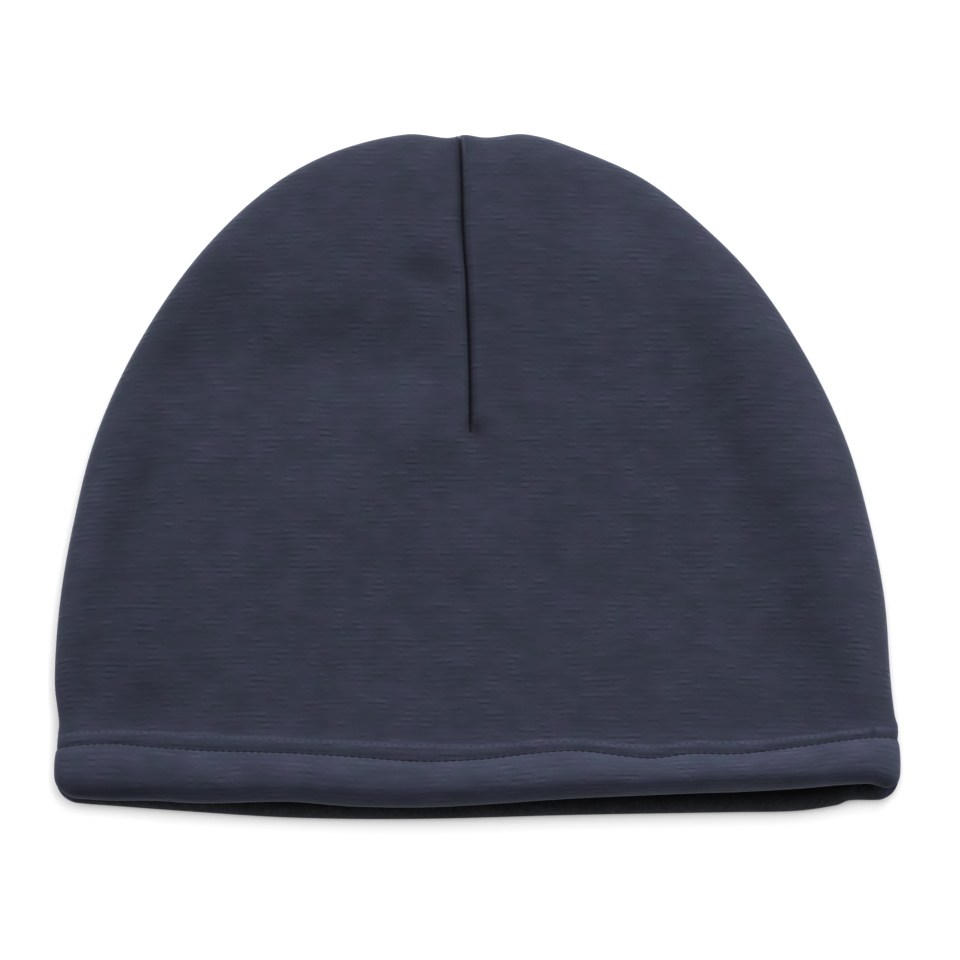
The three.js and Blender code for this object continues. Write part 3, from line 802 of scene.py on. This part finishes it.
def make_stitches(name, row_share, sizes, thread):
    """One row of stitches round the mouth: short arched threads that dive into the cloth.

    Row share is 0 for the lower row and 1 for the upper. Each stitch is a tube along the row
    from one needle hole to the next. Its rings are circles square to its way, a little smaller
    toward the ends, and a point closes each end.
    """
    first, last = STITCH_ENDS
    share = np.linspace(first, last, CAPSULE_RINGS + 2)
    arch = STITCH_ARCH * np.sin(np.pi * (share - first) / (last - first)) - STITCH_SINK
    turn = np.arange(CAPSULE_SIDES) * 2 * np.pi / CAPSULE_SIDES
    points, uvs = [], []
    for hem in (FRONT_HEM, BACK_HEM):
        walk_columns, walk = row_walk(hem, sizes)
        holes = np.arange(sizes.stitch_length, walk[-1] - 2 * sizes.stitch_length, sizes.stitch_length)
        way = holes[:, None] + share * sizes.stitch_length
        column = np.interp(way, walk, walk_columns)
        places = cloth(hem, column, row_share * row_gap(hem, column, sizes), sizes)
        middle = below(places, places.groove - sizes.thread_width * arch)
        middle[..., 2] = np.maximum(middle[..., 2], sizes.thread_width * 0.5)
        along = unit(np.gradient(middle, axis=1))
        aside = unit(np.cross(places.normal, along))
        upward = np.cross(along, aside)
        radius = sizes.thread_width / 2 * np.array([0, *([1] * CAPSULE_RINGS), 0])
        radius[[1, -2]] *= STITCH_TAPER
        ring = aside[:, :, None] * np.cos(turn)[:, None] + upward[:, :, None] * np.sin(turn)[:, None]
        tubes = middle[:, :, None] + ring * radius[:, None, None]
        body = tubes[:, 1:-1].reshape(len(holes), -1, 3)
        points.append(np.concatenate([body, middle[:, [0, -1]]], axis=1))
        uvs.append(np.stack(np.broadcast_arrays(way[:, 1:-1, None], turn * sizes.thread_width), axis=-1))
    points = np.concatenate(points)
    count, each = points.shape[:2]
    corner = np.arange(CAPSULE_RINGS * CAPSULE_SIDES).reshape(CAPSULE_RINGS, CAPSULE_SIDES)
    after = np.roll(corner, -1, axis=1)
    sides = np.stack([corner[:-1], after[:-1], after[1:], corner[1:]], axis=-1).reshape(-1, 4)
    first = np.stack([after[0], corner[0], np.full(CAPSULE_SIDES, each - 2)], axis=-1)
    last = np.stack([corner[-1], after[-1], np.full(CAPSULE_SIDES, each - 1)], axis=-1)
    shift = np.arange(count)[:, None, None] * each
    faces = [(shift + some).reshape(-1, some.shape[1]) for some in (sides, first, last)]
    uvs = np.concatenate(uvs).reshape(count, -1, 2)
    uvs = np.concatenate([uvs, uvs[:, [0, -1]]], axis=1).reshape(-1, 2)
    corner_uv = uvs[np.concatenate([some.ravel() for some in faces])]
    return make_piece(name, points.reshape(-1, 3), faces, corner_uv, [thread])


# Materials

class NodeTree:
    """Adds and links the nodes of a material or of a node group."""

    def __init__(self, tree):
        self.tree = tree

    def add(self, kind, inputs=(), **settings):
        """A new node, with values or links given for its inputs by name or number."""
        node = self.tree.nodes.new(kind)
        for name, value in settings.items():
            setattr(node, name, value)
        for socket, value in dict(inputs).items():
            if isinstance(value, bpy.types.NodeSocket):
                self.tree.links.new(value, node.inputs[socket])
            else:
                node.inputs[socket].default_value = value
        return node

    def math(self, operation, first, second=0.0, third=0.0):
        """The result of one sum on values."""
        inputs = {0: first, 1: second, 2: third}
        return self.add("ShaderNodeMath", inputs, operation=operation).outputs[0]

    def noise(self, place, scale, detail=2.0, roughness=0.5):
        """Soft noise between 0 and 1 over a place."""
        inputs = {"Vector": place, "Scale": scale, "Detail": detail, "Roughness": roughness}
        return self.add("ShaderNodeTexNoise", inputs, noise_dimensions="2D").outputs[0]

    def stretch(self, place, factors):
        """A place multiplied by a factor for each axis."""
        inputs = {0: place, 1: factors}
        return self.add("ShaderNodeVectorMath", inputs, operation="MULTIPLY").outputs[0]

    def spread(self, value, low, high, to_low=0.0, to_high=1.0):
        """A value brought from one range to another, and kept within it."""
        inputs = {0: value, 1: low, 2: high, 3: to_low, 4: to_high}
        return self.add("ShaderNodeMapRange", inputs).outputs[0]

    def blend(self, share, first, second, blend_type="MIX"):
        """Two colours mixed by a share."""
        inputs = {0: share, 6: first, 7: second}
        node = self.add("ShaderNodeMix", inputs, data_type="RGBA", blend_type=blend_type)
        return node.outputs[2]

    def between(self, share, colour, shades):
        """A colour between a darker and a lighter shade of itself, by a share."""
        darker, lighter = shades
        return self.blend(share, shade(colour, darker), shade(colour, lighter))

    def times(self, colour, factor):
        """A colour multiplied by a value or by another colour."""
        return self.blend(1.0, colour, factor, "MULTIPLY")

    def place(self):
        """Where on the piece's own UV map a point lies, in metres."""
        return self.add("ShaderNodeUVMap", uv_map="UVMap").outputs[0]

    def mask(self, name):
        """A value that the mesh keeps for each point."""
        return self.add("ShaderNodeAttribute", attribute_name=name).outputs["Fac"]

    def cover(self, shader, colour, height, strength, depth):
        """Gives the shader its colour, and a bump of a depth in metres."""
        bump = self.add("ShaderNodeBump", {"Strength": strength, "Distance": depth, "Height": height})
        self.tree.links.new(colour, shader.inputs["Base Color"])
        self.tree.links.new(bump.outputs[0], shader.inputs["Normal"])


def group_sockets(tree, inputs, outputs):
    for name, kind in inputs.items():
        tree.interface.new_socket(name, in_out="INPUT", socket_type=kind)
    for name, kind in outputs.items():
        tree.interface.new_socket(name, in_out="OUTPUT", socket_type=kind)
    return tree.nodes.new("NodeGroupInput"), tree.nodes.new("NodeGroupOutput")


def ribbed_knit():
    """The node group of the ribbed outside: fine ribs along the courses, which stand out in
    scattered streaks and all but vanish elsewhere, with the grain of the yarn, soft patches
    and a soft shift of hue.

    The rib is the sine over each rib's width. How far it stands out is noise along the rib,
    looked up at a place that jumps from one rib to the next, times the softer patches. Broader
    bands of noise, long along the courses, run through the ribs.
    """
    found = bpy.data.node_groups.get("ribbed_knit")
    if found:
        return found
    tree = bpy.data.node_groups.new("ribbed_knit", "ShaderNodeTree")
    value = "NodeSocketFloat"
    source, result = group_sockets(
        tree,
        {"Place": "NodeSocketVector", "Rib spacing": value, "Streak length": value},
        {"Height": value, "Shade": value, "Grain": value, "Cast": value},
    )
    nodes = NodeTree(tree)
    place = source.outputs["Place"]
    spacing = source.outputs["Rib spacing"]
    apart = nodes.add("ShaderNodeSeparateXYZ", {0: place})
    sway = nodes.noise(place, 38.0, 1.0)
    lifted = nodes.math("MULTIPLY_ADD", sway, RIB_SWAY, apart.outputs[1])
    count = nodes.math("DIVIDE", lifted, spacing)
    rib_number = nodes.math("FLOOR", count)
    rib_part = nodes.math("FRACT", count)
    rib = nodes.math("SINE", nodes.math("MULTIPLY", rib_part, math.pi))
    jump = nodes.math("MULTIPLY", rib_number, RIB_JUMP)
    along = nodes.math("DIVIDE", apart.outputs[0], source.outputs["Streak length"])
    on_rib = nodes.add("ShaderNodeCombineXYZ", {0: along, 1: jump}).outputs[0]
    noise = nodes.noise(on_rib, 1.0, 1.5, 0.5)
    bands = nodes.noise(nodes.stretch(place, (110.0, 330.0, 1.0)), 1.0, 1.0)
    grain = nodes.spread(nodes.noise(nodes.stretch(place, (1.0, 1.6, 1.0)), 1900.0, 1.0), 0.25, 0.75)
    patches = nodes.spread(nodes.noise(place, 70.0, 2.0), 0.32, 0.68)
    cast = nodes.spread(nodes.noise(place, 105.0, 2.0), 0.35, 0.65)
    scattered = nodes.spread(patches, 0.0, 1.0, 0.35, 1.0)
    streaks = nodes.math("MULTIPLY", nodes.spread(noise, 0.5, 0.7), scattered)
    strength = nodes.math("MULTIPLY_ADD", streaks, 0.95, 0.05)
    height = nodes.math("MULTIPLY", rib, strength)
    height = nodes.math("MULTIPLY_ADD", grain, 0.12, height)
    tone = nodes.math("MULTIPLY", nodes.math("SUBTRACT", rib, 0.6), strength)
    tone = nodes.math("MULTIPLY_ADD", bands, 0.5, nodes.math("ADD", tone, 0.15))
    tone = nodes.math("MULTIPLY_ADD", patches, 0.2, tone)
    links = {"Height": height, "Shade": tone, "Grain": grain, "Cast": cast}
    for name, socket in links.items():
        tree.links.new(socket, result.inputs[name])
    return tree


def new_material(name):
    """An empty material with its Principled shader and tree."""
    material = bpy.data.materials.new(name)
    material.use_nodes = True
    return material, material.node_tree.nodes["Principled BSDF"], NodeTree(material.node_tree)


def shade(colour, factor):
    """A colour made lighter or darker, as a value for a colour socket."""
    return (*(min(channel * factor, 1) for channel in colour), 1.0)


def set_inputs(node, values):
    """Sets inputs of a node that are the same all over."""
    for name, value in values.items():
        node.inputs[name].default_value = value


def knit_material(name, colour, settings, sheen_share=1.0):
    """The outside of the fleece: heathered ribs, softly uneven, with patches of painted shade and
    painted light, a painted highlight on the hem's top and ledge, and painted shade down in the seams."""
    material, shader, nodes = new_material(name)
    knit = nodes.add("ShaderNodeGroup", node_tree=ribbed_knit())
    nodes.tree.links.new(nodes.place(), knit.inputs["Place"])
    set_inputs(knit, {"Rib spacing": settings.rib_spacing, "Streak length": settings.streak_length})
    body = nodes.between(knit.outputs["Shade"], colour, KNIT_SHADES)
    body = nodes.times(body, nodes.blend(knit.outputs["Cast"], *CASTS))
    body = nodes.times(body, nodes.spread(knit.outputs["Grain"], 0.0, 1.0, *GRAIN_SHADES))
    # painted highlight, then patches of painted shade and painted light
    body = nodes.times(body, nodes.spread(nodes.mask("worn"), 0.0, 1.0, *PAINTED_HIGHLIGHT_SHADES))
    body = nodes.times(body, nodes.spread(nodes.mask("pile"), -1.0, 1.0, *PAINTED_SHADING_RANGE))
    # painted shade in the seams, where the hem rolls under, and inside
    crevice = nodes.mask("crevice")
    body = nodes.blend(crevice, body, shade(colour, PAINTED_SHADE_FACTOR))
    height = nodes.math("MULTIPLY", knit.outputs["Height"], nodes.math("SUBTRACT", 1.0, crevice))
    nodes.cover(shader, body, height, 0.6, settings.rib_depth)
    roughness = nodes.spread(knit.outputs["Shade"], 0.0, 1.0, 0.95, 0.82)
    nodes.tree.links.new(roughness, shader.inputs["Roughness"])
    set_inputs(shader, {
        "Specular IOR Level": 0.15,
        "Sheen Weight": settings.sheen * sheen_share,
        "Sheen Roughness": 0.35,
        "Sheen Tint": SHEEN_TINT,
    })
    return material


def nap_material(name, colour, settings):
    """The brushed inside of the fleece: a dark short nap, lying in tufts, with painted shade deep
    inside, away from the fold."""
    material, shader, nodes = new_material(name)
    place = nodes.place()
    tufts = nodes.noise(place, 650.0, 3.0, 0.6)
    lay = nodes.noise(place, 90.0, 2.0)
    share = nodes.spread(nodes.math("MULTIPLY_ADD", lay, 0.5, tufts), 0.55, 0.95)
    body = nodes.between(share, colour, NAP_SHADES)
    body = nodes.blend(nodes.mask("crevice"), body, shade(colour, PAINTED_SHADE_FACTOR))
    nodes.cover(shader, body, tufts, 0.8, 0.0006)
    set_inputs(shader, {
        "Roughness": 1.0,
        "Specular IOR Level": 0.1,
        "Sheen Weight": settings.sheen * NAP_SHEEN_SHARE,
        "Sheen Roughness": 0.5,
    })
    return material


def thread_material(name, colour):
    """Dull twisted sewing thread: slanting plies, darker between them."""
    material, shader, nodes = new_material(name)
    apart = nodes.add("ShaderNodeSeparateXYZ", {0: nodes.place()})
    slant = nodes.math("MULTIPLY_ADD", apart.outputs[0], 1.6, apart.outputs[1])
    plies = nodes.math("SINE", nodes.math("MULTIPLY", slant, 2 * math.pi / PLY_LENGTH))
    share = nodes.spread(plies, -1.0, 1.0)
    nodes.cover(shader, nodes.between(share, colour, PLY_SHADES), share, 0.6, 0.00008)
    set_inputs(shader, {"Roughness": 0.6, "Specular IOR Level": 0.3})
    return material


# What a user can change

def length(name, description, default):
    """A length in metres."""
    return bpy.props.FloatProperty(
        name=name, description=description, default=default, min=0.00001,
        unit="LENGTH", subtype="DISTANCE", precision=5,
    )


def power(name, description, default):
    """The power of a light."""
    return bpy.props.FloatProperty(
        name=name, description=description, default=default, min=0.0, unit="POWER", subtype="POWER",
    )


def colour_of(name, description, default):
    """A colour in linear light."""
    return bpy.props.FloatVectorProperty(
        name=name, description=description, default=default, min=0.0, max=1.0, size=3,
        subtype="COLOR",
    )


class BeanieSizes(bpy.types.PropertyGroup):
    """Sizes of the sewn cloth."""
    thickness: length("Fleece thickness", "Thickness of one layer of fleece", 0.0024)
    seam_height: length("Seam height", "Height of the side seam over the floor", 0.0075)
    edge_rise: length("Edge rise", "Rise of the front from the side seam to its shoulder", 0.0075)
    dome_rise: length("Dome rise", "Rise of the front from its shoulder to its middle", 0.0075)
    seam_depth: length("Seam depth", "Depth of the groove along the side seam", 0.0012)
    dart_depth: length("Dart depth", "Depth of the groove along the dart", 0.0018)
    row_spacing: length("Row spacing", "Distance between the two rows of hem stitching", 0.0048)
    stitch_depth: length("Stitch depth", "How far the stitching presses the cloth in", 0.0001)
    stitch_length: length("Stitch length", "Distance from one needle hole to the next", 0.0023)
    thread_width: length("Thread width", "Thickness of the sewing thread", 0.00036)


class BeanieFinish(bpy.types.PropertyGroup):
    """Colours and surface of the cloth."""
    knit_colour: colour_of("Knit", "Colour of the panels' outside", (0.0316, 0.035, 0.059))
    # the hem's colour is the knit's, painted lighter to stand in for the light on its shoulder
    hem_painted_light_colour: colour_of("Hem", "Colour of the turned hem", (0.0375, 0.0415, 0.070))
    nap_colour: colour_of("Inside", "Colour of the brushed inside", (0.039, 0.042, 0.050))
    thread_colour: colour_of("Thread", "Colour of the sewing thread", (0.040, 0.044, 0.072))
    rib_spacing: length("Rib spacing", "Distance from one knitted rib to the next", 0.00185)
    rib_depth: length("Rib depth", "Depth of the grooves between the ribs", 0.0003)
    streak_length: length("Streak length", "Length over which a rib keeps its shade", 0.0046)
    sheen: bpy.props.FloatProperty(
        name="Sheen", description="Strength of the soft light rim of the fibres",
        default=0.75, min=0.0, max=1.0, subtype="FACTOR",
    )


class BeanieStage(bpy.types.PropertyGroup):
    """Camera and light."""
    elevation: bpy.props.FloatProperty(
        name="Elevation", description="Angle of the camera over the floor",
        default=math.radians(80), min=0.1, max=math.radians(89), unit="ROTATION", subtype="ANGLE",
    )
    distance: length("Distance", "Distance of the camera from the hat", 6.816)
    key_power: power("Key light", "Power of the large soft light from the crown side", 61.0)
    top_power: power("Top light", "Power of the large soft light overhead", 8.0)
    side_power: power("Side lights", "Power of each of the two low soft lights", 6.5)
    front_power: power("Front light", "Power of the low soft light before the mouth", 0.6)
    fill: bpy.props.FloatProperty(
        name="Fill", description="Strength of the even light from all round",
        default=0.14, min=0.0,
    )
    floor_colour: colour_of("Floor", "Colour of the floor", (0.55, 0.55, 0.55))
    floor_glow: bpy.props.FloatProperty(
        name="Floor glow", description="How far the floor is lifted to white in the picture",
        default=0.85, min=0.0,
    )


def in_millimetres(settings):
    """The lengths of a property group as plain numbers in millimetres."""
    names = [name for name in settings.bl_rna.properties.keys() if name not in ("rna_type", "name")]
    return SimpleNamespace(**{name: getattr(settings, name) * 1000 for name in names})


# Operators

class BEANIE_OT_stage(bpy.types.Operator):
    """Lays out the floor, the soft lights and the camera"""
    bl_idname = "beanie.stage"
    bl_label = "Set Up Stage"

    def execute(self, context):
        stage = context.scene.beanie_stage
        add_floor(stage.floor_colour, stage.floor_glow)
        for name, (place, width, height, setting) in SOFT_LIGHTS.items():
            add_soft_light(name, place, width, height, getattr(stage, setting))
        world = bpy.data.worlds.new("soft_surround")
        world.use_nodes = True
        set_inputs(world.node_tree.nodes["Background"], {"Strength": stage.fill, "Color": WHITE})
        context.scene.world = world
        context.scene.view_settings.view_transform = "Standard"
        add_camera(context.scene, stage.elevation, stage.distance)
        return {"FINISHED"}


class BEANIE_OT_front(bpy.types.Operator):
    """Makes the front panel with its dart"""
    bl_idname = "beanie.front"
    bl_label = "Make Front Panel"

    def execute(self, context):
        piece = sew_panel(context.scene, "front_cloth", FRONT_HEM, FRONT_ROWS, FRONT_COLUMNS)
        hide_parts("front_panel")
        return {"FINISHED"}


class BEANIE_OT_back(bpy.types.Operator):
    """Makes the back panel with its dart, flat on the floor"""
    bl_idname = "beanie.back"
    bl_label = "Make Back Panel"

    def execute(self, context):
        piece = sew_panel(context.scene, "back_cloth", BACK_HEM, BACK_ROWS, BACK_COLUMNS)
        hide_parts("back_panel")
        return {"FINISHED"}


class BEANIE_OT_hem(bpy.types.Operator):
    """Makes the turned hem round the mouth"""
    bl_idname = "beanie.hem"
    bl_label = "Make Turned Hem"

    def execute(self, context):
        sizes = in_millimetres(context.scene.beanie_sizes)
        finish = context.scene.beanie_finish
        knit = knit_material("hem_knit", finish.hem_painted_light_colour, finish, HEM_SHEEN_SHARE)
        nap = nap_material("hem_inside", finish.nap_colour, finish)
        piece = make_hem("hem_cloth", sizes, knit, nap)
        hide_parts("turned_hem")
        return {"FINISHED"}


class BEANIE_OT_stitches(bpy.types.Operator):
    """Sews the two rows of hem stitching, which go with the hem"""
    bl_idname = "beanie.stitches"
    bl_label = "Sew Hem Stitching"

    def execute(self, context):
        sizes = in_millimetres(context.scene.beanie_sizes)
        thread = thread_material("sewing_thread", context.scene.beanie_finish.thread_colour)
        rows = [
            make_stitches("lower_stitches", 0, sizes, thread),
            make_stitches("upper_stitches", 1, sizes, thread),
        ]
        return {"FINISHED"}


def sew_panel(scene, name, hem, row_count, column_count):
    """A panel in its knit outside and brushed inside, which are made once for both panels."""
    sizes = in_millimetres(scene.beanie_sizes)
    finish = scene.beanie_finish
    knit = bpy.data.materials.get("panel_knit")
    nap = bpy.data.materials.get("brushed_inside")
    if knit is None:
        knit = knit_material("panel_knit", finish.knit_colour, finish)
        nap = nap_material("brushed_inside", finish.nap_colour, finish)
    return make_panel(name, hem, row_count, column_count, sizes, knit, nap)


def add_floor(colour, glow):
    """A plain pale floor, wide enough to fill any view. What the lens sees of it is lifted
    toward white, less so in the narrow gap right beside the hat, which makes a painted contact
    shadow, and the light that it throws on the hat stays that of a pale floor."""
    mesh = bpy.data.meshes.new("floor")
    signs = ((-1, -1), (1, -1), (1, 1), (-1, 1))
    corners = [(x * FLOOR_REACH, y * FLOOR_REACH, -FLOOR_DROP) for x, y in signs]
    mesh.from_pydata(corners, [], [(0, 1, 2, 3)])
    material, shader, nodes = new_material("pale_floor")
    seen = nodes.add("ShaderNodeLightPath").outputs["Is Camera Ray"]
    # painted contact shadow: the lift toward white fades where the hat is near
    gap = nodes.add("ShaderNodeAmbientOcclusion", {"Distance": FLOOR_PAINTED_SHADOW_REACH}, samples=8)
    outside_painted_shadow = nodes.math("POWER", gap.outputs["AO"], FLOOR_PAINTED_SHADOW_POWER)
    lifted = nodes.math("MULTIPLY", nodes.math("MULTIPLY", seen, glow), outside_painted_shadow)
    nodes.tree.links.new(lifted, shader.inputs["Emission Strength"])
    set_inputs(shader, {
        "Base Color": (*colour, 1.0),
        "Emission Color": WHITE,
        "Roughness": 0.9,
        "Specular IOR Level": 0.1,
    })
    mesh.materials.append(material)
    floor = add_object("floor", mesh)


def add_soft_light(name, place, width, height, power):
    """A soft box aimed at the hat."""
    data = bpy.data.lights.new(name, "AREA")
    data.shape = "RECTANGLE"
    data.size = width
    data.size_y = height
    data.energy = power
    light = add_object(name, data)
    light.location = place
    light.rotation_euler = (-Vector(place)).to_track_quat("-Z", "Y").to_euler()


def add_camera(scene, elevation, distance):
    """A long lens over the mouth's side of the hat."""
    data = bpy.data.cameras.new("camera")
    data.lens = LENS
    data.clip_end = 100
    data.sensor_width = SENSOR_WIDTH
    camera = add_object("camera", data)
    aim = Vector(CAMERA_AIM)
    away = Vector((0.0, -math.cos(elevation), math.sin(elevation)))
    camera.location = aim + away * distance
    camera.rotation_euler = (-away).to_track_quat("-Z", "Y").to_euler()
    scene.camera = camera


class BEANIE_PT_sidebar(bpy.types.Panel):
    """Lists the beanie's settings and the steps that build it"""
    bl_idname = "BEANIE_PT_sidebar"
    bl_label = "Fleece Beanie"
    bl_space_type = "VIEW_3D"
    bl_region_type = "UI"
    bl_category = "Beanie"

    def draw(self, context):
        layout = self.layout
        layout.use_property_split = True
        for group in ("beanie_sizes", "beanie_finish", "beanie_stage"):
            settings = getattr(context.scene, group)
            box = layout.box()
            for name in settings.__annotations__:
                box.prop(settings, name)
        for operator in OPERATORS:
            layout.operator(operator.bl_idname)


SETTINGS = {"beanie_sizes": BeanieSizes, "beanie_finish": BeanieFinish, "beanie_stage": BeanieStage}
OPERATORS = (BEANIE_OT_stage, BEANIE_OT_front, BEANIE_OT_back, BEANIE_OT_hem, BEANIE_OT_stitches)


def register():
    """Makes the settings, operators and sidebar known to Blender."""
    for kind in (*SETTINGS.values(), *OPERATORS, BEANIE_PT_sidebar):
        bpy.utils.register_class(kind)
    for name, kind in SETTINGS.items():
        setattr(bpy.types.Scene, name, bpy.props.PointerProperty(type=kind))


def unregister():
    """Takes them away again."""
    for name in SETTINGS:
        delattr(bpy.types.Scene, name)
    for kind in reversed((*SETTINGS.values(), *OPERATORS, BEANIE_PT_sidebar)):
        bpy.utils.unregister_class(kind)


def main():
    """Builds the whole scene."""
    register()
    bpy.ops.beanie.stage()
    bpy.ops.beanie.front()
    bpy.ops.beanie.back()
    bpy.ops.beanie.hem()
    bpy.ops.beanie.stitches()


if __name__ == "__main__":
    main()
